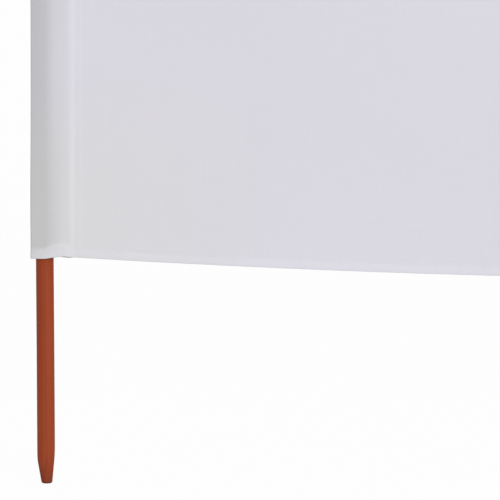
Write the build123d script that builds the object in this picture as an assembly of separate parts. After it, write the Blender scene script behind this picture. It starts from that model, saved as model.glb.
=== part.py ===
from build123d import *
import os
from math import acos, asin, atan2, cos, degrees, hypot, radians, sin, tan

# A beach windbreak: a long band of cloth on a row of round wooden poles, which stand in pockets sewn in it.
# X runs along the row and Z is up. The smooth side of the cloth faces -Y, and the poles stand behind it.
# The origin is on the flat foot of the middle pole. Lengths are in millimetres, angles in degrees.

# The row
bay_count = 6
cloth_length = 8000.0  # from the fold at one end to the fold at the other
cloth_height = 800.0
foot_height = 312.0  # bare pole below the cloth

# Poles
pole_diameter = 24.0
pole_length = 1150.0
taper_length = 37.0
tip_diameter = 13.2
tip_rounding = 2.5  # the worn edge of the flat tip
top_bevel = 4.0

# Cloth
cloth_thickness = 1.0
hem_height = 13.0
hem_turn = 1.0  # what the turned hem adds to the thickness of the cloth
hem_sag = 9.0  # the drop of both edges at the middle of a bay
belly = 12.0  # how far a bay stands forward at its middle
seam_lap = 9.0  # cloth past a stitched seam, lying flat on the back of a panel

# Pockets
pocket_clearance = 0.3  # between a pole and the hems of its pocket
front_slack = 8.0  # from the pole to the front face of the cloth
fold_slack = 6.6  # from the pole to the outer fold of an end pocket
fold_radius = 2.5  # inside the fold, at the hem
fold_slant = 22.0  # how far the front of an end pocket turns away towards its fold
front_bend = 17.0  # the run on each side of that turn that is rounded
end_seam_slack = 37.0  # from an end pole to the seam of its pocket
inner_seam_slack = 24.0  # from an inner pole to the seams on either side of it

# Worked out from the sizes above
pole_radius = pole_diameter / 2
cloth_top = foot_height + cloth_height
cloth_front = pole_radius + front_slack
cloth_back = cloth_front - cloth_thickness
pocket_wall = cloth_thickness + hem_turn
pocket_round = pole_radius + pocket_clearance + pocket_wall
fold_reach = pole_radius + fold_slack
fold_round = fold_radius + pocket_wall
end_seam = pole_radius + end_seam_slack
inner_seam = pole_radius + inner_seam_slack
bay_pitch = (cloth_length - 2 * fold_reach) / bay_count
pole_places = [(index - bay_count / 2) * bay_pitch for index in range(bay_count + 1)]


def corner(first, second):
    # Where two sides of a section cross, each given as the direction it faces and its distance from the pole's axis.
    (first_way, first_far), (second_way, second_far) = first, second
    turn = sin(radians(second_way - first_way))
    across = first_far * sin(radians(second_way)) - second_far * sin(radians(first_way))
    along = second_far * cos(radians(first_way)) - first_far * cos(radians(second_way))
    return across / turn, along / turn


def section(sides, rounds):
    # A convex plan section from its sides in turn. Each round is that of the corner after its side.
    corners = [corner(side, after) for side, after in zip(sides, sides[1:] + sides[:1])]
    return make_face(FilletPolyline(*corners, radius=rounds, close=True))


def upright(plan, low, high):
    # A plan section raised from one height to another.
    return Pos(0, 0, low) * extrude(plan, amount=high - low, dir=(0, 0, 1))


def block(low, high):
    # A straight-sided piece between two opposite corners.
    spans = [end - start for start, end in zip(low, high)]
    return Pos(*low) * Box(*spans, align=(Align.MIN, Align.MIN, Align.MIN))


def tangent_way(across, along, round_size):
    # The direction faced by a side that runs from a point to touch the back of a round about the pole.
    return degrees(atan2(along, across) + acos(round_size / hypot(across, along)))


def hollow(outside, cavity, mouth):
    # A pocket wall over the full height of the cloth, with the hems turned inwards at its two mouths.
    wall = upright(outside, foot_height, cloth_top)
    wall -= upright(cavity, foot_height + hem_height, cloth_top - hem_height)
    return wall - upright(mouth, foot_height, cloth_top)


def pole():
    # A round pole with a tapered foot, a flat tip and a bevelled top, turned about its axis.
    tip_radius = tip_diameter / 2
    profile = FilletPolyline(
        (0, 0),
        (tip_radius, 0),
        (pole_radius, taper_length),
        (pole_radius, pole_length - top_bevel),
        (pole_radius - top_bevel, pole_length),
        (0, pole_length),
        radius=[0, tip_rounding, 0, 0, 0, 0],
        close=True,
    )
    return revolve(Plane.XZ * make_face(profile), Axis.Z)


def end_pocket():
    # The end of the cloth, folded back round the pole and sewn down along its seam. Seen here with the fold at -X.
    fold_across = fold_reach - fold_round
    fold_along = pocket_round - fold_round - fold_across * sin(radians(fold_slant))
    fold_along /= cos(radians(fold_slant))
    fold_far = hypot(fold_across, fold_along)
    fold_rise = degrees(atan2(fold_along, fold_across) + asin((pocket_round - fold_round) / fold_far))
    seam_back = cloth_thickness - cloth_back
    back_way = tangent_way(end_seam, seam_back, pocket_round)
    bend_round = front_bend / tan(radians(fold_slant / 2))

    def layer(inset):
        sides = [
            (back_way, pocket_round - inset),
            (90 + fold_rise, pocket_round - inset),
            (270 - fold_slant, pocket_round - inset),
            (270, cloth_front - inset),
        ]
        return sides, [pocket_round - inset, fold_round - inset, bend_round - inset, 0]

    sides, rounds = layer(0)
    outside = section(sides + [(360, end_seam)], rounds + [0])
    wall = hollow(outside, section(*layer(cloth_thickness)), section(*layer(pocket_wall)))
    lap = block((end_seam, -cloth_back, foot_height), (end_seam + seam_lap, seam_back, cloth_top))
    return wall + lap


def strip_layer(inset):
    # The sides of an inner pocket's strip and of the cloth in front of it, set in from the strip's outer face.
    back_way = tangent_way(inner_seam, cloth_thickness - cloth_back, pocket_round)
    sides = [(back_way, pocket_round - inset), (180 - back_way, pocket_round - inset)]
    return sides, pocket_round - inset


def pocket_strip():
    # A strip sewn behind the cloth on both sides of an inner pole, round the back of the pole.
    front = (270, cloth_back)
    (right, left), back_round = strip_layer(0)
    outside = section([right, left, (180, inner_seam), front, (360, inner_seam)], [back_round, 0, 0, 0, 0])
    layers = [strip_layer(inset) for inset in (cloth_thickness, pocket_wall)]
    cavity, mouth = [section(sides + [front], [back_round, 0, 0]) for sides, back_round in layers]
    wall = hollow(outside, cavity, mouth)
    lap = block(
        (inner_seam, -cloth_back, foot_height),
        (inner_seam + seam_lap, cloth_thickness - cloth_back, cloth_top),
    )
    return wall + lap + mirror(lap, Plane.YZ)


def pocket_front():
    # The flat cloth in front of an inner pole, between the seams of its strip, with its hems turned to the back.
    (right, left), back_round = strip_layer(pocket_wall)
    hem_side = corner(right, (270, cloth_back - hem_turn))[0]
    cloth = block((-inner_seam, -cloth_front, foot_height), (inner_seam, -cloth_back, cloth_top))
    for low in (foot_height, cloth_top - hem_height):
        cloth += block((-hem_side, -cloth_back, low), (hem_side, hem_turn - cloth_back, low + hem_height))
    return cloth


def arched_face(left, right, low, high, drop):
    # An outline between two like arcs that start at the same two sides, and drop by the same amount at the middle.
    middle = (left + right) / 2
    bottom = ThreePointArc((left, low), (middle, low - drop), (right, low))
    top = ThreePointArc((left, high), (middle, high - drop), (right, high))
    return make_face([bottom, Line((right, low), (right, high)), top, Line((left, high), (left, low))])


def panel(left, right):
    # The cloth of one bay from seam to seam. It stands forward at its middle, and its hems are turned to the back.
    left_lap, right_lap = left + seam_lap, right - seam_lap
    lowest = foot_height - hem_sag

    def cut_to(cloth, low, high):
        # Trimmed to the sagging outline between two heights at the seams.
        outline = Plane.XZ * arched_face(left, right, low, high, hem_sag)
        return cloth & extrude(outline, amount=cloth_front + belly + seam_lap, dir=(0, -1, 0))

    body = upright(arched_face(left_lap, right_lap, -cloth_front, -cloth_back, belly), lowest, cloth_top)
    body += block((left, -cloth_front, lowest), (left_lap, -cloth_back, cloth_top))
    body += block((right_lap, -cloth_front, lowest), (right, -cloth_back, cloth_top))
    turned = arched_face(left_lap, right_lap, -cloth_back, hem_turn - cloth_back, belly)
    hems = upright(turned, lowest, cloth_top)
    cloth = cut_to(body, foot_height, cloth_top)
    cloth += cut_to(hems, foot_height, foot_height + hem_height)
    return cloth + cut_to(hems, cloth_top - hem_height, cloth_top)


def windbreak():
    # Every piece in its place, by name. Poles, pockets and panels are numbered along +X.
    first, last = pole_places[0], pole_places[-1]
    left_pocket = end_pocket()
    pieces = {
        "end_pocket_left": Pos(first, 0, 0) * left_pocket,
        "end_pocket_right": Pos(last, 0, 0) * mirror(left_pocket, Plane.YZ),
    }
    strip, front = pocket_strip(), pocket_front()
    for number, place in enumerate(pole_places, start=1):
        pieces[f"pole_{number}"] = Pos(place, 0, 0) * pole()
        if first < place < last:
            pieces[f"pocket_strip_{number}"] = Pos(place, 0, 0) * strip
            pieces[f"pocket_front_{number}"] = Pos(place, 0, 0) * front
    for number, (place, following) in enumerate(zip(pole_places, pole_places[1:]), start=1):
        left = place + (end_seam if place == first else inner_seam)
        right = following - (end_seam if following == last else inner_seam)
        pieces[f"panel_{number}"] = panel(left, right)
    return pieces


os.makedirs("parts", exist_ok=True)
for name, piece in windbreak().items():
    export_step(piece, f"parts/{name}.step")
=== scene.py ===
import bpy
import math
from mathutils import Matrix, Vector, noise


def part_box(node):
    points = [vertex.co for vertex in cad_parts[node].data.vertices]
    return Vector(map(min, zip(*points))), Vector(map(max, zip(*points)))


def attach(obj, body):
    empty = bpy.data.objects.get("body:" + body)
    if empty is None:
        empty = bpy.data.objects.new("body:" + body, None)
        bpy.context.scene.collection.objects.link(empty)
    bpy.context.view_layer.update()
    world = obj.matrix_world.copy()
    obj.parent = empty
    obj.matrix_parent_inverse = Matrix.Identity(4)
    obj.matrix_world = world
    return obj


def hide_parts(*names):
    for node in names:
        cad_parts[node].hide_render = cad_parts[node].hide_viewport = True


# Beach windbreak: a long band of cloth on seven round poles, seen at one lower corner. Metres, Z up.
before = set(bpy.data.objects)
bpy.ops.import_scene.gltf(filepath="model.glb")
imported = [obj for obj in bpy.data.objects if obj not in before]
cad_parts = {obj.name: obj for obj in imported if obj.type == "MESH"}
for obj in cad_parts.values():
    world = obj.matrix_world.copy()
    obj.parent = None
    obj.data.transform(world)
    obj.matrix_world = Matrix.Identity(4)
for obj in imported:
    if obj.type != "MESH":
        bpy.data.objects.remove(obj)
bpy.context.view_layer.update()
sceneNow = bpy.context.scene

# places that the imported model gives
poleCount = sum(name.startswith("pole_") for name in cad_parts)
poleBoxes = [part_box(f"pole_{number}") for number in range(1, poleCount + 1)]
poleAt = [(low[0] + high[0]) / 2 for low, high in poleBoxes]
poleRadius = (poleBoxes[0][1][0] - poleBoxes[0][0][0]) / 2
poleLength = poleBoxes[0][1][2]
panelBoxes = [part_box(f"panel_{number}") for number in range(1, poleCount)]
bays = [(low[0], high[0]) for low, high in panelBoxes]
bayCount = len(bays)
seams = [place for bay in bays for place in bay]
pocketLow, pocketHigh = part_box("end_pocket_left")
clothLow, clothHeight = pocketLow[2], pocketHigh[2] - pocketLow[2]
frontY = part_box("pocket_front_2")[0][1]
backRound = pocketHigh[1]  # outside of a pocket, round the back of its pole
foldReach = poleAt[0] - pocketLow[0]
endSeam = bays[0][0] - poleAt[0]
innerSeam = bays[1][0] - poleAt[1]
lapWidth = pocketHigh[0] - bays[0][0]
belly = frontY - panelBoxes[0][0][1]
sag = clothLow - panelBoxes[0][0][2]
print("frame:", poleCount, "poles,", bayCount, "bays")


def blendIn(low, high, value):  # 0 up to low, 1 from high on
    share = min(max((value - low) / (high - low), 0.0), 1.0)
    return share * share * (3 - 2 * share)


def bulge(centre, width, value):  # 1 at the centre
    return math.exp(-((value - centre) / width) ** 2)


def ripple(*place):  # smooth swings either side of 0
    return noise.noise(Vector(place))


def throughPoints(points, value):  # eased from each (place, value) to the next
    for (start, startValue), (end, endValue) in zip(points, points[1:]):
        if value <= end:
            return startValue + (endValue - startValue) * blendIn(start, end, value)
    return points[-1][1]


def spread(start, end, step):  # even places from start up to, and not with, end
    count = max(round((end - start) / step), 1)
    return [start + (end - start) * part / count for part in range(count)]


def zoned(start, end, zone, fine, step):  # the same, with a fine zone at both ends
    first, last = start + zone, end - zone
    return spread(start, first, fine) + spread(first, last, step) + spread(last, end, fine)


def runLengths(line):  # from the first point of a line to each of its points
    runs = [0.0]
    for before, after in zip(line, line[1:]):
        runs.append(runs[-1] + (after - before).length)
    return runs


def directionTo(azimuth, elevation):  # degrees from the front towards +X, and up
    azimuth, elevation = math.radians(azimuth), math.radians(elevation)
    return Vector((math.sin(azimuth) * math.cos(elevation),
                   -math.cos(azimuth) * math.cos(elevation),
                   math.sin(elevation)))


# Camera, at the angle of the photograph
cameraView = {
    "azimuth": 13.04,
    "elevation": 5.92,
    "distance": 4.0,
    "lens": 217.2,
    "sensor": 36.0,
    "clipEnd": 1000.0,
    "aim": (0.2869, -0.010, 0.3265),  # from the foot of the first pole
}


def placeCamera(view):
    back = directionTo(view["azimuth"], view["elevation"])
    data = bpy.data.cameras.new("photoCamera")
    data.sensor_width = view["sensor"]
    data.lens = view["lens"]
    data.clip_end = view["clipEnd"]
    camera = bpy.data.objects.new("photoCamera", data)
    camera.location = Vector((poleAt[0], 0, 0)) + Vector(view["aim"]) + back * view["distance"]
    camera.rotation_euler = back.to_track_quat("Z", "Y").to_euler()
    sceneNow.collection.objects.link(camera)
    sceneNow.camera = camera


placeCamera(cameraView)
print("camera placed")


# Node trees
noiseMiddle = 0.5  # the value about which a noise texture varies


class Wire:
    # an output socket that Python sums can use
    def __init__(self, bench, socket):
        self.bench = bench
        self.socket = socket

    def output(self, name):
        return Wire(self.bench, self.socket.node.outputs[name])

    def maths(self, operation, first, second=0.0):
        return self.bench.add("ShaderNodeMath", {"operation": operation}, {0: first, 1: second})

    def __add__(self, other):
        return self.maths("ADD", self, other)

    def __sub__(self, other):
        return self.maths("SUBTRACT", self, other)

    def __rsub__(self, other):
        return self.maths("SUBTRACT", other, self)

    def __mul__(self, other):
        return self.maths("MULTIPLY", self, other)

    def __truediv__(self, other):
        return self.maths("DIVIDE", self, other)

    def __rtruediv__(self, other):
        return self.maths("DIVIDE", other, self)

    def __neg__(self):
        return self.maths("MULTIPLY", self, -1.0)

    def sine(self):
        return self.maths("SINE", self)

    def cosine(self):
        return self.maths("COSINE", self)

    def root(self):
        return self.maths("SQRT", self)

    def atLeast(self, other):
        return self.maths("MAXIMUM", self, other)

    __radd__ = __add__
    __rmul__ = __mul__


class Bench:
    # the nodes of one tree
    def __init__(self, tree):
        self.tree = tree

    def add(self, kind, settings=None, sockets=None, output=0):
        node = self.tree.nodes.new(kind)
        for name, value in (settings or {}).items():
            if name == "stops":
                self.setStops(node.color_ramp.elements, value)
            else:
                setattr(node, name, value)
        for name, value in (sockets or {}).items():
            if isinstance(value, Wire):
                self.tree.links.new(value.socket, node.inputs[name])
            else:
                node.inputs[name].default_value = value
        return Wire(self, node.outputs[output]) if node.outputs else node

    def setStops(self, elements, stops):
        while len(elements) < len(stops):
            elements.new(1.0)
        for element, (place, colour) in zip(elements, stops):
            element.position = place
            element.color = (*colour, 1.0)

    def attribute(self, name, output="Fac"):
        return self.add("ShaderNodeAttribute", {"attribute_name": name}, output=output)

    def point(self, **parts):  # from any of X, Y and Z
        return self.add("ShaderNodeCombineXYZ", {}, parts)

    def vector(self, operation, *values, output=0):
        return self.add("ShaderNodeVectorMath", {"operation": operation}, dict(enumerate(values)), output)

    def noiseAt(self, place, scale, detail=2.0, roughness=0.5):
        stretched = self.add("ShaderNodeMapping", {}, {"Vector": place, "Scale": scale})
        return self.add("ShaderNodeTexNoise", {}, {
            "Vector": stretched, "Scale": 1.0, "Detail": detail, "Roughness": roughness})

    def fade(self, value, low, high, start=0.0, end=1.0):
        return self.add("ShaderNodeMapRange", {"interpolation_type": "SMOOTHSTEP"}, {
            "Value": value, "From Min": low, "From Max": high, "To Min": start, "To Max": end})

    def mix(self, factor, first, second, blend="MIX"):  # colours, as wires or as three numbers
        colours = [given if isinstance(given, Wire) else (*given, 1.0) for given in (first, second)]
        return self.add("ShaderNodeMix", {"data_type": "RGBA", "blend_type": blend}, {
            0: factor, 6: colours[0], 7: colours[1]}, output=2)


def socketKinds(values):  # of the inputs for a piece's sizes and counts
    return {label: "Int" if isinstance(value, int) else "Float" for label, value in values.items()}


def startTree(name, kinds):  # a geometry tree, its inputs' identifiers and their wires
    tree = bpy.data.node_groups.new(name, "GeometryNodeTree")
    tree.interface.new_socket("guide", in_out="INPUT", socket_type="NodeSocketGeometry")
    sockets = {}
    for label, kind in kinds.items():
        socket = tree.interface.new_socket(label, in_out="INPUT", socket_type="NodeSocket" + kind)
        sockets[label] = socket.identifier
    tree.interface.new_socket("made", in_out="OUTPUT", socket_type="NodeSocketGeometry")
    bench = Bench(tree)
    inputs = bench.add("NodeGroupInput")
    return bench, sockets, {label: inputs.output(label) for label in ("guide", *kinds)}


def endTree(bench, made, finish):
    real = bench.add("GeometryNodeRealizeInstances", {}, {"Geometry": made})
    done = bench.add("GeometryNodeSetMaterial", {}, {"Geometry": real, "Material": finish})
    bench.add("NodeGroupOutput", {}, {"made": done})


def guideMesh(name, rows):  # open rows of points, joined by edges
    edges = []
    first = 0
    for row in rows:
        edges += [(first + index, first + index + 1) for index in range(len(row) - 1)]
        first += len(row)
    mesh = bpy.data.meshes.new(name + "Guide")
    mesh.from_pydata([point for row in rows for point in row], edges, [])
    return mesh


def plainMesh(name, carrier):  # what the carrier's modifier makes, and the carrier goes
    source = carrier.data
    sceneNow.collection.objects.link(carrier)
    made = bpy.data.meshes.new_from_object(carrier.evaluated_get(bpy.context.evaluated_depsgraph_get()))
    bpy.data.objects.remove(carrier)
    bpy.data.meshes.remove(source)
    made.name = name
    made.shade_smooth()
    return made


def meshFromTree(name, guide, tree, sockets, values):
    carrier = bpy.data.objects.new(name + "Guide", guide)
    modifier = carrier.modifiers.new("nodes", "NODES")
    modifier.node_group = tree
    for label, value in values.items():
        modifier[sockets[label]] = value
    return plainMesh(name, carrier)


def startMaterial(name):
    material = bpy.data.materials.new(name)
    material.use_nodes = True
    material.node_tree.nodes.clear()
    return material, Bench(material.node_tree)


# Cloth finish
clothFinish = {
    "pale": (0.775, 0.760, 0.824),
    "shade": (0.689, 0.676, 0.733),
    "behind": (0.09, 0.095, 0.01),  # painted shade: the colour mixed in where the pole and the pocket behind keep light from coming through the cloth
    "paintedShadeShare": 0.2,
    "handled": (0.995, 1.005, 0.96),  # the lower corners by the poles are a little less blue
    "threadPitch": 0.0009,
    "slubLength": 0.055,
    "slubWidth": 0.0011,
    "cloudScale": (3.2, 3.8, 1),  # per metre, along and across
    "cloudDetail": 3.0,
    "slubTone": 0.32,  # shares in the colour
    "cloudTone": 0.36,
    "weaveBump": 0.35,  # shares in the bump
    "slubBump": 0.5,
    "bumpStrength": 0.6,
    "bumpDepth": 0.00014,
    "roughness": 0.86,
    "roughnessSpread": 0.1,
    "shine": 0.25,
    "sheen": 0.08,
    "sheenRoughness": 0.6,
}


def clothMaterial(look):
    material, bench = startMaterial("offWhiteCloth")
    run = bench.add("ShaderNodeUVMap", {"uv_map": "clothRun"})
    along = bench.add("ShaderNodeSeparateXYZ", {}, {"Vector": run})
    turn = 2 * math.pi / look["threadPitch"]
    weave = (along * turn).sine() * (along.output("Y") * turn).sine()
    longWay, thinWay = 1 / look["slubLength"], 1 / look["slubWidth"]
    weft = bench.noiseAt(run, (longWay, thinWay, 1))
    warp = bench.noiseAt(run, (thinWay, longWay, 1))
    clouds = bench.noiseAt(run, look["cloudScale"], look["cloudDetail"])
    tone = weft * look["slubTone"] + warp * look["slubTone"] + clouds * look["cloudTone"]
    colour = bench.mix(tone, look["shade"], look["pale"])
    handled = bench.mix(bench.attribute("handled"), colour, look["handled"], "MULTIPLY")
    # painted shade, where less light comes through the cloth from behind
    withPaintedShade = bench.mix(bench.attribute("hollow") * look["paintedShadeShare"], handled, look["behind"])
    bump = bench.add("ShaderNodeBump", {}, {
        "Strength": look["bumpStrength"],
        "Distance": look["bumpDepth"],
        "Height": weave * look["weaveBump"] + weft * look["slubBump"] + warp * look["slubBump"],
    })
    shader = bench.add("ShaderNodeBsdfPrincipled", {}, {
        "Base Color": withPaintedShade,
        "Roughness": look["roughness"] + (clouds - noiseMiddle) * look["roughnessSpread"],
        "Specular IOR Level": look["shine"],
        "Sheen Weight": look["sheen"],
        "Sheen Roughness": look["sheenRoughness"],
        "Normal": bump,
    })
    bench.add("ShaderNodeOutputMaterial", {}, {"Surface": shader})
    return material


# Thread of the cloth's colour
threadFinish = {
    "pale": (0.78, 0.775, 0.81),
    "shade": (0.66, 0.656, 0.69),
    "twistScale": (900, 900, 900),
    "twistDetail": 1.0,
    "roughness": 0.5,
    "roughnessSpread": 0.2,
    "shine": 0.35,
}


def threadMaterial(look):
    material, bench = startMaterial("offWhiteThread")
    place = bench.add("ShaderNodeTexCoord", output="Object")
    twist = bench.noiseAt(place, look["twistScale"], look["twistDetail"])
    shader = bench.add("ShaderNodeBsdfPrincipled", {}, {
        "Base Color": bench.mix(twist, look["shade"], look["pale"]),
        "Roughness": look["roughness"] + twist * look["roughnessSpread"],
        "Specular IOR Level": look["shine"],
    })
    bench.add("ShaderNodeOutputMaterial", {}, {"Surface": shader})
    return material


# Stained wood
woodFinish = {
    "stops": (  # from the dark streaks to the light ones
        (0.30, (0.232, 0.035, 0.0085)),
        (0.52, (0.298, 0.047, 0.0115)),
        (0.74, (0.352, 0.060, 0.0165)),
    ),
    "streakScale": (170, 170, 2.2),  # per metre, across and along the grain
    "streakDetail": 4.0,
    "streakRoughness": 0.55,
    "fibreScale": (900, 900, 14),
    "poreScale": (1500, 1500, 70),
    "poreDetail": 1.0,
    "pith": (0.021, -0.034, 0),  # the stock is sawn from beside the heart of the tree
    "ringStretch": (1, 1, 0.004),  # the rings hardly change along the pole
    "ringPitch": 0.0034,
    "ringWander": 5.0,
    "streakTone": 0.62,  # shares in the colour
    "fibreTone": 0.26,
    "ringTone": 0.06,
    "toneLift": 0.06,
    # the pole is drawn darker towards its tip in this colour; its lowest rounded edge takes painted shade in
    # it as well
    "tipDarkening": (0.12, 0.03, 0.014),
    "tipDarkeningHeight": 0.05,
    "tipDarkeningShare": 0.38,
    "shadedEdgeHeight": 0.0055,  # painted shade: the down-facing rounded edge of the tip is darker again
    "shadedEdgeShare": 0.6,
    "endGrain": (0.168, 0.030, 0.011),
    "endDepth": (0.0014, 0.0001),  # below the top of the pole
    "endShare": 0.55,
    "endRings": 0.3,
    "endFibres": 0.5,
    "fibreBump": 0.6,  # shares in the bump
    "poreBump": 0.5,
    "ringBump": 0.12,
    "bumpStrength": 0.3,
    "bumpDepth": 0.0003,
    "roughness": 0.62,
    "roughnessSpread": 0.2,
    "tipDarkeningRoughness": 0.3,
    "shine": 0.2,
}


def woodMaterial(look):
    material, bench = startMaterial("redBrownWood")
    grain = bench.attribute("grain", "Vector")
    streaks = bench.noiseAt(grain, look["streakScale"], look["streakDetail"], look["streakRoughness"])
    fibres = bench.noiseAt(grain, look["fibreScale"])
    pores = bench.noiseAt(grain, look["poreScale"], look["poreDetail"])
    fromPith = bench.vector("MULTIPLY", bench.vector("SUBTRACT", grain, look["pith"]), look["ringStretch"])
    reach = bench.vector("LENGTH", fromPith, output="Value")
    rings = (reach * (2 * math.pi / look["ringPitch"]) + streaks * look["ringWander"]).sine()
    tone = streaks * look["streakTone"] + fibres * look["fibreTone"] + rings * look["ringTone"]
    colour = bench.add("ShaderNodeValToRGB", {"stops": look["stops"]}, {"Fac": tone + look["toneLift"]})
    place = bench.add("ShaderNodeTexCoord", output="Object")
    up = bench.add("ShaderNodeSeparateXYZ", {}, {"Vector": place}, output="Z")
    # darker towards the tip, and painted shade on the tip's down-facing rounded edge
    tipDarkening = bench.fade(up, 0.0, look["tipDarkeningHeight"], look["tipDarkeningShare"], 0.0)
    edge = bench.fade(up, 0.0, look["shadedEdgeHeight"], look["shadedEdgeShare"], 0.0)
    tipDarkened = bench.mix(tipDarkening * (noiseMiddle + fibres) + edge, colour, look["tipDarkening"])
    cutEnd = bench.fade(up, *[poleLength - depth for depth in look["endDepth"]])
    endTone = look["endShare"] + rings * look["endRings"] + (fibres - noiseMiddle) * look["endFibres"]
    bump = bench.add("ShaderNodeBump", {}, {
        "Strength": look["bumpStrength"],
        "Distance": look["bumpDepth"],
        "Height": fibres * look["fibreBump"] + pores * look["poreBump"] + rings * look["ringBump"],
    })
    rough = look["roughness"] + (fibres - noiseMiddle) * look["roughnessSpread"]
    shader = bench.add("ShaderNodeBsdfPrincipled", {}, {
        "Base Color": bench.mix(cutEnd * endTone, tipDarkened, look["endGrain"]),
        "Roughness": rough + tipDarkening * look["tipDarkeningRoughness"],
        "Specular IOR Level": look["shine"],
        "Normal": bump,
    })
    bench.add("ShaderNodeOutputMaterial", {}, {"Surface": shader})
    return material


cloth = clothMaterial(clothFinish)
thread = threadMaterial(threadFinish)
wood = woodMaterial(woodFinish)
print("materials made")


def finishedPiece(name, mesh, slot, *nodes):
    piece = bpy.data.objects.new(name, mesh)
    sceneNow.collection.objects.link(piece)
    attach(piece, "root")
    if nodes:
        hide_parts(*nodes)
    return piece


# Poles, turned by geometry nodes round a line of heights
poleTurning = {
    "sides": 56,
    "taper": 0.0375,
    "taperSkew": 0.0042,  # the point is cut a little aslant
    "tipRadius": 0.0072,
    "tipShift": 0.0008,
    "tipRound": 0.0021,
    "topBevel": 0.004,
    "topFullness": 0.8,  # 1 would round the top right over
    "cutSoftness": 0.0017,
    "handWork": 0.00016,  # slight unevenness, and its waves round and along a pole
    "handWorkRound": 1.6,
    "handWorkAlong": 7.0,
    "handWorkApart": 12.6,  # these two with the turn of the grain, so no two are alike
    "grainApart": 4.1,
}
poleSet = {
    "skewTowards": 13.0,  # degrees, for the first pole
    "skewTurn": 2.1,  # radians from one pole to the next
    "grainTurn": 0.9,  # each pole shows another side of its grain
    "ringStep": 0.04,
    "tipShares": (0, 0.08, 0.3, 0.6, 1),  # heights on the round of the tip, the taper and the bevel
    "taperShares": (0.15, 0.3, 0.45, 0.6, 0.72, 0.8, 0.88, 0.96, 1.04, 1.12, 1.22, 1.4),
    "bevelShares": (1, 0.6, 0.3, 0.1, 0),
    "sharpAngle": 30.0,
}


def poleTree(turning):
    ownSizes = dict.fromkeys(("radius", "length", "skewWay", "grainWay", "place"), "Float")
    bench, sockets, given = startTree("turnedPole", {
        **socketKinds(turning), **ownSizes, "finish": "Material"})
    radius, grainWay = given["radius"], given["grainWay"]
    tipRound, topBevel = given["tipRound"], given["topBevel"]
    spine = bench.add("GeometryNodeMeshToCurve", {}, {"Mesh": given["guide"]})
    ring = bench.add("GeometryNodeCurvePrimitiveCircle", {}, {
        "Resolution": given["sides"], "Radius": radius})
    tube = bench.add("GeometryNodeCurveToMesh", {}, {
        "Curve": spine, "Profile Curve": ring, "Fill Caps": True})
    spot = bench.add("GeometryNodeInputPosition")
    height = bench.add("ShaderNodeSeparateXYZ", {}, {"Vector": spot}, output="Z")
    out = bench.vector("NORMALIZE", bench.vector("MULTIPLY", spot, (1, 1, 0)))
    lean = bench.point(X=given["skewWay"].cosine(), Y=given["skewWay"].sine())
    aslant = bench.vector("DOT_PRODUCT", out, lean, output="Value")
    tip = given["tipRadius"] + given["tipShift"] * aslant
    cone = tip + (radius - tip) * height / (given["taper"] + given["taperSkew"] * aslant)
    reach = bench.add("ShaderNodeMath", {"operation": "SMOOTH_MIN"}, {
        0: cone, 1: radius, 2: given["cutSoftness"]})
    waves = bench.point(X=given["handWorkRound"], Y=given["handWorkRound"])
    along = bench.point(Z=height * given["handWorkAlong"] + grainWay * given["handWorkApart"])
    uneven = bench.add("ShaderNodeTexNoise", {}, {
        "Vector": bench.vector("MULTIPLY_ADD", out, waves, along), "Scale": 1.0, "Detail": 0.0})
    reach += given["handWork"] * (uneven * 2.0 - 1.0)
    nearTip = (1.0 - height / tipRound).atLeast(0.0)
    reach -= tipRound * (1.0 - (1.0 - nearTip * nearTip).root())
    nearTop = (1.0 - (given["length"] - height) / topBevel).atLeast(0.0)
    reach -= topBevel * (1.0 - (1.0 - given["topFullness"] * nearTop * nearTop).root())
    turned = bench.add("GeometryNodeSetPosition", {}, {
        "Geometry": tube,
        "Position": bench.vector("MULTIPLY_ADD", out, bench.point(X=reach, Y=reach), bench.point(Z=height)),
    })
    grain = bench.add("ShaderNodeVectorRotate", {"rotation_type": "Z_AXIS"}, {
        "Vector": spot, "Angle": grainWay})
    marked = bench.add("GeometryNodeStoreNamedAttribute", {"data_type": "FLOAT_VECTOR", "domain": "POINT"}, {
        "Geometry": turned,
        "Name": "grain",
        "Value": bench.vector("ADD", grain, bench.point(Z=grainWay * given["grainApart"])),
    })
    standing = bench.add("GeometryNodeTransform", {}, {
        "Geometry": marked, "Translation": bench.point(X=given["place"])})
    endTree(bench, standing, given["finish"])
    return bench.tree, sockets


def poleHeights(turning, row):
    heights = [share * turning["tipRound"] for share in row["tipShares"]]
    heights += [share * turning["taper"] for share in row["taperShares"]]
    while heights[-1] + row["ringStep"] < poleLength - turning["topBevel"]:
        heights.append(heights[-1] + row["ringStep"])
    return heights + [poleLength - share * turning["topBevel"] for share in row["bevelShares"]]


def turnedPole(turning, row, number, tree, sockets):
    name = f"woodPole_{number}"
    values = {
        **turning,
        "radius": poleRadius,
        "length": poleLength,
        "skewWay": math.radians(row["skewTowards"]) + row["skewTurn"] * (number - 1),
        "grainWay": row["grainTurn"] * number,
        "place": poleAt[number - 1],
        "finish": wood,
    }
    guide = guideMesh(name, [[(0, 0, height) for height in poleHeights(turning, row)]])
    mesh = meshFromTree(name, guide, tree, sockets, values)
    mesh.set_sharp_from_angle(angle=math.radians(row["sharpAngle"]))
    return finishedPiece(name, mesh, "pole_wood", f"pole_{number}")


poleNodes, poleSockets = poleTree(poleTurning)
for number in range(1, poleCount + 1):
    turnedPole(poleTurning, poleSet, number, poleNodes, poleSockets)


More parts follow.
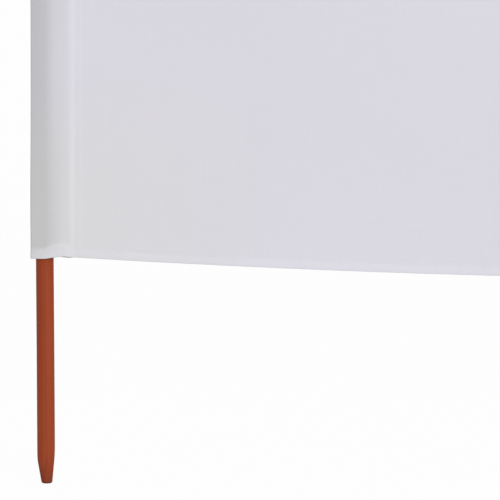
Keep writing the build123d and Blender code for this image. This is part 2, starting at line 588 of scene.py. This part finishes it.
# Cloth band
clothCut = {
    "thickness": 0.0005,
    "hem": 0.013,
    "hemGap": 0.0009,  # between the middles of a hem's two layers
    "hemRow": 0.0108,  # stitches above the edge
    "seamGroove": 0.00022,
    "lapGap": 0.0011,
    "lapStack": 0.0017,  # more layers where hems cross a lap
    "stackReach": 0.016,  # they ease out this far beside a seam
    "stackEase": 1.9,  # and at this many times the height of the hem
    "upright": 0.0024,  # how far the first pocket leans in over its lower part
    "uprightReach": (0.06, 0.5),  # from its pole, fading out over this
    "uprightRise": (0.0, 0.36),
    "uprightFall": (0.5, 0.76),
    "poleClearance": 0.0006,  # from a pole to the middle of the cloth
    "thinClothShade": 0.09,  # painted shade: single cloth, which lets a little light through, is drawn a little darker
    "thinEase": 0.001,
    "singleEase": 0.0015,
    # painted shade on the front cloth over each inner pole
    "frontPaintedShade": ((0.006, 0.5), (0.024, 0.25), (0.034, 0.0)),
    "handledReach": (0.07, 0.36),  # from a pole, fading out over this
    "handledHeight": (0.10, 0.27),
    "columnStep": 0.0072,
    "seamZone": 0.02,  # closer columns beside a seam
    "seamStep": 0.002,
    "pocketZone": 0.012,
    "pocketStep": 0.006,
    "lapShares": (1, 0.75, 0.5, 0.25),  # columns on a lap, from its free edge
    "turnedShares": (1, 0.83, 0.6, 0.3),  # rows on a turned hem, from its free edge
    "edgeSteps": 4,  # round the edge
    "fineRow": 0.0022,
    "fineUpTo": 1.3,  # times the hem
    "coarseRow": 0.030,
    "rowGrowth": 1.32,
    "sharpAngle": 60.0,
}
hem = clothCut["hem"]
frontMid = frontY + clothCut["thickness"] / 2


def bayShare(x):  # 0 at the seams of a bay, 1 at its middle
    for left, right in bays:
        if left < x < right:
            share = (x - left) / (right - left)
            return 4 * share * (1 - share)
    return 0.0


def fromEdge(h):  # to the nearer of the lower and the upper edge
    return min(h, clothHeight - h)


def hemShare(cut, h):  # 1 in both hems, 0 in the open cloth
    return 1 - blendIn(hem, hem * cut["stackEase"], fromEdge(h))


def singleShare(cut, h, band):  # 0 in the hems, 1 where the cloth is single
    return blendIn(band - cut["singleEase"], band + cut["singleEase"], fromEdge(h))


def pastHem(away, band, softness):  # how far below the top of a hem, easing in
    depth = band - away
    return 0.5 * (depth + math.hypot(depth, softness))


# Relief of the front cloth. Each wave has its length and two seeds
clothRelief = {
    "pucker": 0.00045,
    "shortWave": (0.021, 3.1, 0.4),
    "longWave": (0.047, 5.7, 4.2),
    "longShare": 0.7,
    "livelyWave": (0.19, 7.3, 1.7),  # puckers come and go along a hem
    "livelyRange": (-0.25, 0.45),
    "calmest": 0.3,
    "puckerTop": 0.8,  # times the hem, and above that they die out
    "puckerFade": 0.015,
    "rowSink": 0.5,  # times the pucker, along the stitches
    "rowWidth": 0.0022,
    "hemTilt": 6.1,  # degrees, the stiff hem stands forward at its edge
    "tiltFrom": 0.0125,
    "tiltSoftness": 0.003,
    "tiltReach": 0.3,
    "tiltAtSeam": 0.25,  # share of it
    "seamWidth": 0.0025,
    "seamPucker": 0.00022,
    "seamPuckerLength": 0.033,
    "seamPuckerReach": 0.018,
    "seamSeed": 8.8,
    "pocketCrest": 0.0003,  # the front of an inner pocket stands a little proud
    "crestReach": 0.009,
    "drift": 0.0011,
    "driftLengths": (0.41, 0.37),
    "driftSeed": 2.3,
    "creaseAt": (0.120, 0.168),  # a short crease over the first hem, from the first pole
    "creaseEase": (0.012, 0.02),
    "creaseDepth": 0.0009,
    "creaseDrop": 0.0006,  # below the stitches
    "creaseWidth": 0.0024,
}


def hemWave(x, h, wave):  # the upper hem has waves of its own
    length, edgeSeed, seed = wave
    edge = 1.0 if h < clothHeight / 2 else 2.0
    return ripple(x / length, edge * edgeSeed, seed)


def hemRelief(cut, form, x, h, beside):
    away = fromEdge(h)
    lively = blendIn(*form["livelyRange"], hemWave(x, h, form["livelyWave"]))
    wave = hemWave(x, h, form["shortWave"]) + form["longShare"] * hemWave(x, h, form["longWave"])
    wave *= form["calmest"] + (1 - form["calmest"]) * lively
    wave *= math.exp(-max(away - form["puckerTop"] * hem, 0.0) / form["puckerFade"])
    wave -= form["rowSink"] * bulge(cut["hemRow"], form["rowWidth"], away)
    tilt = form["tiltAtSeam"] + (1 - form["tiltAtSeam"]) * blendIn(0, form["tiltReach"], beside)
    tilt *= math.tan(math.radians(form["hemTilt"]))
    return form["pucker"] * wave + tilt * pastHem(away, form["tiltFrom"], form["tiltSoftness"])


def seamRelief(cut, form, x, h, seam):
    beside = abs(x - seam)
    out = form["seamPucker"] * ripple(h / form["seamPuckerLength"], seam, form["seamSeed"])
    out *= math.exp(-beside / form["seamPuckerReach"])
    if not bayShare(x):
        out += form["pocketCrest"] * blendIn(0, form["crestReach"], beside)
    return out - cut["seamGroove"] * bulge(0, form["seamWidth"], beside)


def creaseRelief(cut, form, fromPole, h):
    (start, end), (easeIn, easeOut) = form["creaseAt"], form["creaseEase"]
    along = blendIn(start, start + easeIn, fromPole) * (1 - blendIn(end - easeOut, end, fromPole))
    return -form["creaseDepth"] * along * bulge(cut["hemRow"] - form["creaseDrop"], form["creaseWidth"], h)


def relief(cut, form, x, h):  # how far the front stands out of its plain curve
    seam = min(seams, key=lambda place: abs(place - x))
    driftAlong, driftUp = form["driftLengths"]
    drift = ripple(x / driftAlong, h / driftUp, form["driftSeed"]) * math.sqrt(bayShare(x))
    out = hemRelief(cut, form, x, h, abs(x - seam)) + seamRelief(cut, form, x, h, seam)
    return out + form["drift"] * drift + creaseRelief(cut, form, x - poleAt[0], h)


def uprightLean(cut, fromPole, h):  # keeps the first pocket's edges upright in the lower half
    near = 1 - blendIn(*cut["uprightReach"], fromPole)
    return cut["upright"] * near * blendIn(*cut["uprightRise"], h) * (1 - blendIn(*cut["uprightFall"], h))


def clearOfPole(cut, point):  # moved straight out where the cloth would go into the pole
    least = poleRadius + cut["poleClearance"]
    push = max(least / math.hypot(point.x, point.y), 1.0)
    return Vector((point.x * push, point.y * push, point.z))


class Column:
    # one upright line of the cloth, with its place and how much painted shade it takes where less light comes
    # through from behind
    def __init__(self, place, hollow):
        self.place = place
        self.hollow = hollow


def frontColumn(cut, x):
    share = bayShare(x)
    beside = min(abs(x - seam) for seam in seams)
    # painted shade: a little on single cloth, more over each inner pole
    if share:
        paintedShadeAmount = cut["thinClothShade"] * blendIn(lapWidth - cut["thinEase"], lapWidth + cut["thinEase"], beside)
    else:
        paintedShadeAmount = throughPoints(cut["frontPaintedShade"], min(abs(x - pole) for pole in poleAt))

    def place(h, inset):  # inset is towards the back, from the middle of the cloth
        y = frontMid - belly * share - relief(cut, clothRelief, x, h) + inset
        return Vector((x + uprightLean(cut, x - poleAt[0], h), y, clothLow - sag * share + h))
    return Column(place, lambda h: paintedShadeAmount * singleShare(cut, h, hem))


def lapColumn(cut, x):  # cloth past a seam, flat on the back of the front cloth
    front = frontColumn(cut, x)

    def place(h, inset):
        away = cut["lapGap"] + cut["lapStack"] * hemShare(cut, h) - inset
        return front.place(h, 0) + Vector((0, away, 0))
    return Column(place, lambda h: 0.0)


# Plan paths with rounded corners
arcStep = math.radians(7)
fewestOnArc = 3
backwards, forwards = 0.5 * math.pi, 1.5 * math.pi  # the ways that face +Y and -Y


def crossing(first, second):  # of two lines, each by the way it faces and its distance
    (way, far), (nextWay, nextFar) = first, second
    turn = math.sin(nextWay - way)
    return Vector(((far * math.sin(nextWay) - nextFar * math.sin(way)) / turn,
                   (nextFar * math.cos(way) - far * math.cos(nextWay)) / turn))


def tangentWay(across, along, size):  # faced by a line from a point to the back of a round
    return math.atan2(along, across) + math.acos(size / math.hypot(across, along))


def roundedPath(points, rounds, step):  # (place, outward way) along straight runs and tangent arcs
    stations = []

    def run(start, end, way):
        count = max(int((end - start).length / step), 1)
        stations.extend((start.lerp(end, part / count), way) for part in range(count))
    start = points[0]
    for before, point, after, size in zip(points, points[1:], points[2:], rounds):
        first, second = (point - before).normalized(), (after - point).normalized()
        turn = math.atan2(first.x * second.y - first.y * second.x, first.dot(second))
        reach = size * math.tan(abs(turn) / 2)
        outward = math.atan2(-first.x, first.y)
        run(start, point - first * reach, outward)
        centre = point - first * reach - size * Vector((math.cos(outward), math.sin(outward)))
        count = max(int(abs(turn) / arcStep), fewestOnArc)
        for part in range(count):
            way = outward + turn * part / count
            stations.append((centre + size * Vector((math.cos(way), math.sin(way))), way))
        start = point + second * reach
    last = (points[-1] - start).normalized()
    run(start, points[-1], math.atan2(-last.x, last.y))
    return stations


# End pocket: the cloth goes round the pole, folds at the end of the row and comes back to the seam.
# What changes across it is a list of (place from the pole towards the seam, value)
endPocket = {
    "foldRound": 0.0045,
    "foldIn": 0.0005,  # the pole draws the fold in a little
    "slant": 22.0,  # degrees, the front turns away towards the fold
    "bend": 0.021,
    "step": 0.0025,
    "wave": 0.0004,
    "waveLengths": (0.028, 0.13),
    "waveSeed": 5.1,
    "calmReach": 0.02,  # no waves on the seam
    "crest": ((0.022, 0.0), (0.038, 0.0005), (0.049, -0.00022)),  # swells, then rolls back into the seam
    "crestRise": (0.02, 0.09),  # from the edge, growing to its full over this
    "crestAtEdge": 0.6,
    "frontEdge": ((-0.0186, -0.0041), (0.002, -0.0035), (0.013, -0.0019), (0.027, 0.0011), (0.049, 0.0)),
    "backEdge": ((-0.0186, -0.0041), (-0.006, -0.0026), (0.020, -0.0020), (0.036, -0.0017), (0.049, 0.0)),
    "edgeFade": 0.07,  # height over which the dip and rise of the lower edge die out
    "frontFlare": ((-0.0186, 9.4), (-0.004, 7.6), (0.010, 2.0), (0.035, 2.4), (0.049, 1.4)),
    "backFlare": ((-0.0186, 7.0), (-0.004, 0.0)),  # both in degrees, by which the hem stands forward
    "hemBand": ((-0.0186, 0.0132), (0.008, 0.0138), (0.022, 0.018), (0.036, 0.018), (0.049, 0.013)),
    "hemSoftness": ((-0.0186, 0.0015), (0.010, 0.003), (0.033, 0.006), (0.049, 0.003)),
    # painted shade where less light comes through the cloth from behind, over the pole and the pocket's
    # hollow; hardly any in the hems
    "hemPaintedShade": 0.01,
    "frontPaintedShade": ((-0.0186, 0.88), (-0.006, 0.91), (0.004, 0.92), (0.012, 0.66), (0.019, 0.34),
                    (0.0365, 0.34), (0.0465, 0.0)),
    "backPaintedShade": ((-0.0186, 0.86), (0.008, 1.0), (0.030, 0.1), (0.040, 0.0)),
    "lowReach": (0.04, 0.28),  # the painted shade shifts from the higher to the lower of these
    "lowDrift": 0.0055,
    "lowPaintedShade": ((-0.0186, -0.27), (-0.004, -0.20), (0.004, -0.03), (0.012, 0.05), (0.018, -0.03),
                  (0.025, -0.12), (0.031, -0.08), (0.0385, 0.04), (0.0435, -0.27), (0.0475, -0.26),
                  (0.052, 0.0)),
}


def endPocketPath(cut, pocket):
    slant = math.radians(pocket["slant"])
    inside = cut["thickness"] / 2
    size, foldRound = backRound - inside, pocket["foldRound"] - inside
    reach = foldReach - pocket["foldIn"] - inside - foldRound
    rise = (size - foldRound - reach * math.sin(slant)) / math.cos(slant)
    foldWay = math.atan2(rise, reach) + math.asin((size - foldRound) / math.hypot(reach, rise))
    start = Vector((endSeam, frontMid + cut["seamGroove"] + cut["lapGap"]))
    backLine = (tangentWay(start.x, start.y, size), size)
    foldLine = (backwards + foldWay, size)
    facetLine = (forwards - slant, size)
    points = [
        start,
        crossing(backLine, foldLine),
        crossing(foldLine, facetLine),
        crossing(facetLine, (forwards, -frontMid)),
        Vector((endSeam, frontMid)),
    ]
    rounds = [size, foldRound, pocket["bend"] / math.tan(slant / 2)]
    return roundedPath(points, rounds, pocket["step"])


def endPocketColumn(cut, pocket, station, onFront, run, pole, side):
    spot, way = station
    across = spot.x
    outward = Vector((math.cos(way), math.sin(way), 0))
    edge = throughPoints(pocket["frontEdge" if onFront else "backEdge"], across)
    flare = throughPoints(pocket["frontFlare" if onFront else "backFlare"], across)
    tilt = math.tan(math.radians(flare))
    band = throughPoints(pocket["hemBand"], across)
    softness = throughPoints(pocket["hemSoftness"], across)
    crest = throughPoints(pocket["crest"], across) if onFront else 0.0
    stack = 0.0 if onFront else cut["lapStack"] * blendIn(endSeam - cut["stackReach"], endSeam, across)
    calm = 1 - blendIn(endSeam - pocket["calmReach"], endSeam, across)
    alongWave, upWave = pocket["waveLengths"]
    leans = side > 0  # only the first pocket

    def place(h, inset):
        away = fromEdge(h)
        out = pocket["wave"] * ripple(run / alongWave, h / upWave, pocket["waveSeed"] * side) * calm
        swell = pocket["crestAtEdge"] + (1 - pocket["crestAtEdge"]) * blendIn(*pocket["crestRise"], away)
        out += crest * swell + stack * hemShare(cut, h) - inset
        point = Vector((spot.x, spot.y, clothLow + h)) + outward * out
        point.y -= tilt * pastHem(away, band, softness)
        point.z += edge * (1 - blendIn(0, pocket["edgeFade"], h))
        point.x += leans * uprightLean(cut, across, h)
        point = clearOfPole(cut, point)
        return Vector((pole + side * point.x, point.y, point.z))

    # painted shade, where less light comes through the cloth from behind
    def hollow(h):
        single = pocket["hemPaintedShade"] + (1 - pocket["hemPaintedShade"]) * singleShare(cut, h, band)
        if not onFront:
            return single * throughPoints(pocket["backPaintedShade"], across)
        low = 1 - blendIn(*pocket["lowReach"], h)
        paintedShadeAmount = throughPoints(pocket["frontPaintedShade"], across - low * pocket["lowDrift"])
        return single * (paintedShadeAmount + low * throughPoints(pocket["lowPaintedShade"], across))
    return Column(place, hollow)


def endPocketColumns(cut, pocket, pole, side):  # from the lap on the back round to the seam on the front
    columns = [lapColumn(cut, pole + side * (endSeam + lapWidth * share)) for share in cut["lapShares"]]
    stations = endPocketPath(cut, pocket)
    fold = min(range(len(stations)), key=lambda index: stations[index][0].x)
    runs = runLengths([spot for spot, way in stations])
    for index, (station, run) in enumerate(zip(stations, runs)):
        columns.append(endPocketColumn(cut, pocket, station, index >= fold, run, pole, side))
    return columns


# Inner pocket: a strip sewn behind the cloth on both sides of the pole
backStrip = {
    "step": 0.0035,
    "wave": 0.0004,
    "waveLengths": (0.03, 0.12),
    "waveSeed": 9.4,
    # painted shade on the strip over its pole
    "hollow": ((0.005, 1.0), (0.024, 0.15), (0.034, 0.0)),
}


def stripColumn(cut, strip, spot, facing, pole):
    nearSeam = blendIn(innerSeam - cut["stackReach"], innerSeam, abs(spot.x))
    outward = Vector((math.cos(facing), math.sin(facing), 0)).lerp(Vector((0, 1, 0)), nearSeam)
    # painted shade, where the pole behind keeps light from coming through
    paintedShadeAmount = throughPoints(strip["hollow"], abs(spot.x))
    alongWave, upWave = strip["waveLengths"]

    def place(h, inset):
        wave = ripple((pole + spot.x) / alongWave, h / upWave, strip["waveSeed"])
        out = strip["wave"] * wave * (1 - nearSeam)
        out += cut["lapStack"] * nearSeam * hemShare(cut, h) - inset
        return Vector((pole + spot.x, spot.y, clothLow + h)) + outward * out
    return Column(place, lambda h: paintedShadeAmount * singleShare(cut, h, hem))


def stripColumns(cut, strip, pole):
    size = backRound - cut["thickness"] / 2
    start = Vector((innerSeam, frontMid + cut["seamGroove"] + cut["lapGap"]))
    way = tangentWay(start.x, start.y, size)
    top = crossing((way, size), (math.pi - way, size))
    end = Vector((-start.x, start.y))
    stations = roundedPath([start, top, end], [size], strip["step"]) + [(end, math.pi - way)]
    laps = [innerSeam + lapWidth * share for share in cut["lapShares"]]
    columns = [lapColumn(cut, pole + reach) for reach in laps]
    columns += [stripColumn(cut, strip, spot, facing, pole) for spot, facing in stations]
    return columns + [lapColumn(cut, pole - reach) for reach in reversed(laps)]


# Front cloth of a bay, on to the next bay's first seam, or with the pocket at an end of the row
def bandColumns(cut, number):
    left, right = bays[number - 1]
    places = zoned(left, right, cut["seamZone"], cut["seamStep"], cut["columnStep"])
    if number < bayCount:
        following = bays[number][0]
        places += zoned(right, following, cut["pocketZone"], cut["seamStep"], cut["pocketStep"]) + [following]
    columns = [frontColumn(cut, place) for place in places]
    if number == 1:
        columns = endPocketColumns(cut, endPocket, poleAt[0], 1) + columns
    if number == bayCount:
        columns += reversed(endPocketColumns(cut, endPocket, poleAt[-1], -1))
    return columns


def bandNodes(number):
    nodes = [f"panel_{number}"]
    if number == 1:
        nodes.append("end_pocket_left")
    return nodes + [f"pocket_front_{number + 1}" if number < bayCount else "end_pocket_right"]


# Rows of a hemmed band, from the free edge of one turned hem round to that of the other
def hemmedRows(cut):
    gap, half = cut["hemGap"], cut["hemGap"] / 2
    turns = [math.pi * part / cut["edgeSteps"] for part in range(1, cut["edgeSteps"])]
    inner = [(hem * share, gap) for share in cut["turnedShares"]] + [(half, gap)]
    fold = [(half * (1 - math.sin(turn)), half * (1 + math.cos(turn))) for turn in turns]
    front = [(half, 0.0)]
    step = cut["fineRow"]
    while front[-1][0] + step < clothHeight / 2:
        front.append((front[-1][0] + step, 0.0))
        if front[-1][0] > cut["fineUpTo"] * hem:
            step = min(step * cut["rowGrowth"], cut["coarseRow"])
    lower = inner + fold + front
    return lower + [(clothHeight - h, inset) for h, inset in reversed(lower)]


def handledShare(cut, point):
    fromPole = min(abs(point.x - pole) for pole in poleAt)
    near = 1 - blendIn(*cut["handledReach"], fromPole)
    return near * (1 - blendIn(*cut["handledHeight"], point.z - clothLow))


def bandFaces(columnCount, rowCount):
    corners = [column * rowCount + row for column in range(columnCount - 1) for row in range(rowCount - 1)]
    return [(corner, corner + rowCount, corner + rowCount + 1, corner + 1) for corner in corners]


def bandMesh(name, cut, columns):  # its middle surface, and its flat size
    rows = hemmedRows(cut)
    lines = [[column.place(h, inset) for h, inset in rows] for column in columns]
    points = [point for line in lines for point in line]
    mesh = bpy.data.meshes.new(name)
    mesh.from_pydata(points, [], bandFaces(len(columns), len(rows)))
    marks = {
        # painted shade where less light comes through the cloth from behind, and the tint by the poles
        "hollow": [column.hollow(h) for column in columns for h, inset in rows],
        "handled": [handledShare(cut, point) for point in points],
    }
    for label, values in marks.items():
        mesh.attributes.new(label, "FLOAT", "POINT").data.foreach_set("value", values)
    level = len(rows) // 4  # a row in the open cloth
    alongRun = runLengths([line[level] for line in lines])
    acrossRun = runLengths(lines[len(lines) // 2])
    run = mesh.uv_layers.new(name="clothRun")
    for loop in mesh.loops:
        column, row = divmod(loop.vertex_index, len(rows))
        run.data[loop.index].uv = (alongRun[column], acrossRun[row])
    mesh.materials.append(cloth)
    return mesh, (alongRun[-1], acrossRun[-1])


def hemmedBand(name, cut, columns, *nodes):
    mesh, flat = bandMesh(name, cut, columns)
    raw = bpy.data.objects.new(name + "Raw", mesh)
    thick = raw.modifiers.new("thickness", "SOLIDIFY")
    thick.thickness = cut["thickness"]
    thick.offset = 0
    solid = plainMesh(name, raw)
    solid.set_sharp_from_angle(angle=math.radians(cut["sharpAngle"]))
    return finishedPiece(name, solid, "cloth", *nodes), flat


def reportSheet(label, number, piece, flat):
    print(label, number, "flat", [round(size, 3) for size in flat], len(piece.data.polygons), "faces")


for number in range(1, bayCount + 1):
    columns = bandColumns(clothCut, number)
    piece, flat = hemmedBand(f"clothBay_{number}", clothCut, columns, *bandNodes(number))
    reportSheet("cloth bay", number, piece, flat)

for number in range(2, poleCount):
    columns = stripColumns(clothCut, backStrip, poleAt[number - 1])
    piece, flat = hemmedBand(f"pocketStrip_{number}", clothCut, columns, f"pocket_strip_{number}")
    reportSheet("pocket strip", number, piece, flat)


# Stitches, laid by geometry nodes along rows on the cloth
stitching = {
    "pitch": 0.0042,
    "length": 0.0034,
    "thread": 0.00042,
    "rise": 0.0003,
    "sink": 0.6,  # of the thread, where it goes into the cloth
    "jitter": 0.09,
    "seed": 7,
    "bowSteps": 3,
    "sides": 4,
}
stitchRows = {
    "endGap": 0.003,  # from the cloth's edges, on an upright row
    "upStep": 0.004,
    "onLap": 0.003,  # from the seam, on the back
    "feeler": 0.001,  # length that finds the outward way
}


def stitchTree(stitch):
    bench, sockets, given = startTree("stitchRows", {**socketKinds(stitch), "finish": "Material"})
    rows = bench.add("GeometryNodeMeshToCurve", {}, {"Mesh": given["guide"]})
    places = bench.add("GeometryNodeResampleCurve", {"mode": "LENGTH"}, {
        "Curve": rows, "Length": given["pitch"]})
    outward = bench.add("GeometryNodeInputNamedAttribute", {"data_type": "FLOAT_VECTOR"}, {"Name": "outward"})
    tangent = bench.add("GeometryNodeInputTangent")
    ahead = bench.add("FunctionNodeAlignRotationToVector", {"axis": "X"}, {"Vector": tangent})
    facing = bench.add("FunctionNodeAlignRotationToVector", {"axis": "Z", "pivot_axis": "X"}, {
        "Rotation": ahead, "Vector": outward})
    swing = bench.add("FunctionNodeRandomValue", {"data_type": "FLOAT"}, {
        2: -given["jitter"], 3: given["jitter"], "Seed": given["seed"]}, output=1)
    turned = bench.add("FunctionNodeRotateRotation", {"rotation_space": "LOCAL"}, {
        "Rotation": facing, "Rotate By": bench.point(Z=swing)})
    half, depth = given["length"] * 0.5, given["thread"] * given["sink"]
    bow = bench.add("GeometryNodeCurveQuadraticBezier", {}, {
        "Resolution": given["bowSteps"],
        "Start": bench.point(X=-half, Z=-depth),
        "Middle": bench.point(Z=given["rise"] * 2.0),  # the curve goes half as high as this point
        "End": bench.point(X=half, Z=-depth),
    })
    ring = bench.add("GeometryNodeCurvePrimitiveCircle", {}, {
        "Resolution": given["sides"], "Radius": given["thread"] * 0.5})
    single = bench.add("GeometryNodeCurveToMesh", {}, {
        "Curve": bow, "Profile Curve": ring, "Fill Caps": True})
    laid = bench.add("GeometryNodeInstanceOnPoints", {}, {
        "Points": places, "Instance": single, "Rotation": turned})
    endTree(bench, laid, given["finish"])
    return bench.tree, sockets


def facingOut(column, h, inset):  # a point on the cloth's face, and the way out of it
    feeler = stitchRows["feeler"] if inset > 0 else -stitchRows["feeler"]
    point = column.place(h, inset)
    return point, (column.place(h, inset + feeler) - point).normalized()


def hemRows(cut, columns, inset):
    heights = (cut["hemRow"], clothHeight - cut["hemRow"])
    return [[facingOut(column, h, inset) for column in columns] for h in heights]


def rowUp(column, inset):
    heights = spread(stitchRows["endGap"], clothHeight - stitchRows["endGap"], stitchRows["upStep"])
    return [facingOut(column, h, inset) for h in heights]


def bayStitchRows(cut, number):
    surface = cut["thickness"] / 2
    left, right = bays[number - 1]
    behind = spread(left + lapWidth, right - lapWidth, cut["columnStep"])
    rows = hemRows(cut, bandColumns(cut, number), -surface)
    rows += hemRows(cut, [frontColumn(cut, place) for place in behind], cut["hemGap"] + surface)
    if number < bayCount:
        rows += hemRows(cut, stripColumns(cut, backStrip, poleAt[number]), -surface)
    for seam, side in ((left, 1), (right, -1)):
        rows.append(rowUp(frontColumn(cut, seam), -surface))
        rows.append(rowUp(lapColumn(cut, seam + side * stitchRows["onLap"]), -surface))
    return rows


def stitchedRows(name, rows, tree, sockets, stitch):
    guide = guideMesh(name, [[point for point, facing in row] for row in rows])
    outward = guide.attributes.new("outward", "FLOAT_VECTOR", "POINT")
    outward.data.foreach_set("vector", [part for row in rows for point, facing in row for part in facing])
    made = meshFromTree(name, guide, tree, sockets, {**stitch, "finish": thread})
    return finishedPiece(name, made, "cloth")


stitchNodes, stitchSockets = stitchTree(stitching)
for number in range(1, bayCount + 1):
    rows = bayStitchRows(clothCut, number)
    piece = stitchedRows(f"stitches_{number}", rows, stitchNodes, stitchSockets, stitching)
    print("stitches", number, len(rows), "rows", len(piece.data.polygons), "faces")


# Floor, soft low key from the right, white surroundings
studio = {
    "white": (1.0, 1.0, 1.0, 1.0),
    "floorReach": 400.0,
    "floorColour": (0.73, 0.73, 0.73, 1.0),
    "floorWhite": 0.975,  # share of white that is seen on it, over its shade
    "skyLevel": 0.58,
    "keyStrength": 1.72,
    "keyTowards": 36.0,  # degrees
    "keyUp": 12.0,
    "keySoftness": 24.0,
}


def seenDirectly(bench):  # camera, mirror and glass rays
    path = bench.add("ShaderNodeLightPath")
    mirrored = path.output("Is Glossy Ray").atLeast(path.output("Is Transmission Ray"))
    return path.output("Is Camera Ray").atLeast(mirrored)


def makeFloor(look):
    material, bench = startMaterial("paleFloor")
    matt = bench.add("ShaderNodeBsdfDiffuse", {}, {"Color": look["floorColour"]})
    bright = bench.add("ShaderNodeEmission", {}, {"Color": look["white"], "Strength": 1.0})
    mixed = bench.add("ShaderNodeMixShader", {}, {
        0: seenDirectly(bench) * look["floorWhite"], 1: matt, 2: bright})
    bench.add("ShaderNodeOutputMaterial", {}, {"Surface": mixed})
    reach = look["floorReach"]
    corners = [(-reach, -reach, 0), (reach, -reach, 0), (reach, reach, 0), (-reach, reach, 0)]
    mesh = bpy.data.meshes.new("floor")
    mesh.from_pydata(corners, [], [(0, 1, 2, 3)])
    mesh.materials.append(material)
    floor = bpy.data.objects.new("floor", mesh)
    sceneNow.collection.objects.link(floor)


def makeKey(look):
    data = bpy.data.lights.new("keyLight", "SUN")
    data.energy = look["keyStrength"]
    data.angle = math.radians(look["keySoftness"])
    key = bpy.data.objects.new("keyLight", data)
    key.rotation_euler = directionTo(look["keyTowards"], look["keyUp"]).to_track_quat("Z", "Y").to_euler()
    sceneNow.collection.objects.link(key)


def makeSurroundings(look):
    world = bpy.data.worlds.new("surroundings")
    world.use_nodes = True
    world.node_tree.nodes.clear()
    bench = Bench(world.node_tree)
    level = seenDirectly(bench) * (1 - look["skyLevel"]) + look["skyLevel"]
    sky = bench.add("ShaderNodeBackground", {}, {"Color": look["white"], "Strength": level})
    bench.add("ShaderNodeOutputWorld", {}, {"Surface": sky})
    sceneNow.world = world


makeFloor(studio)
makeKey(studio)
makeSurroundings(studio)
sceneNow.view_settings.view_transform = "Standard"
print("floor and light set")
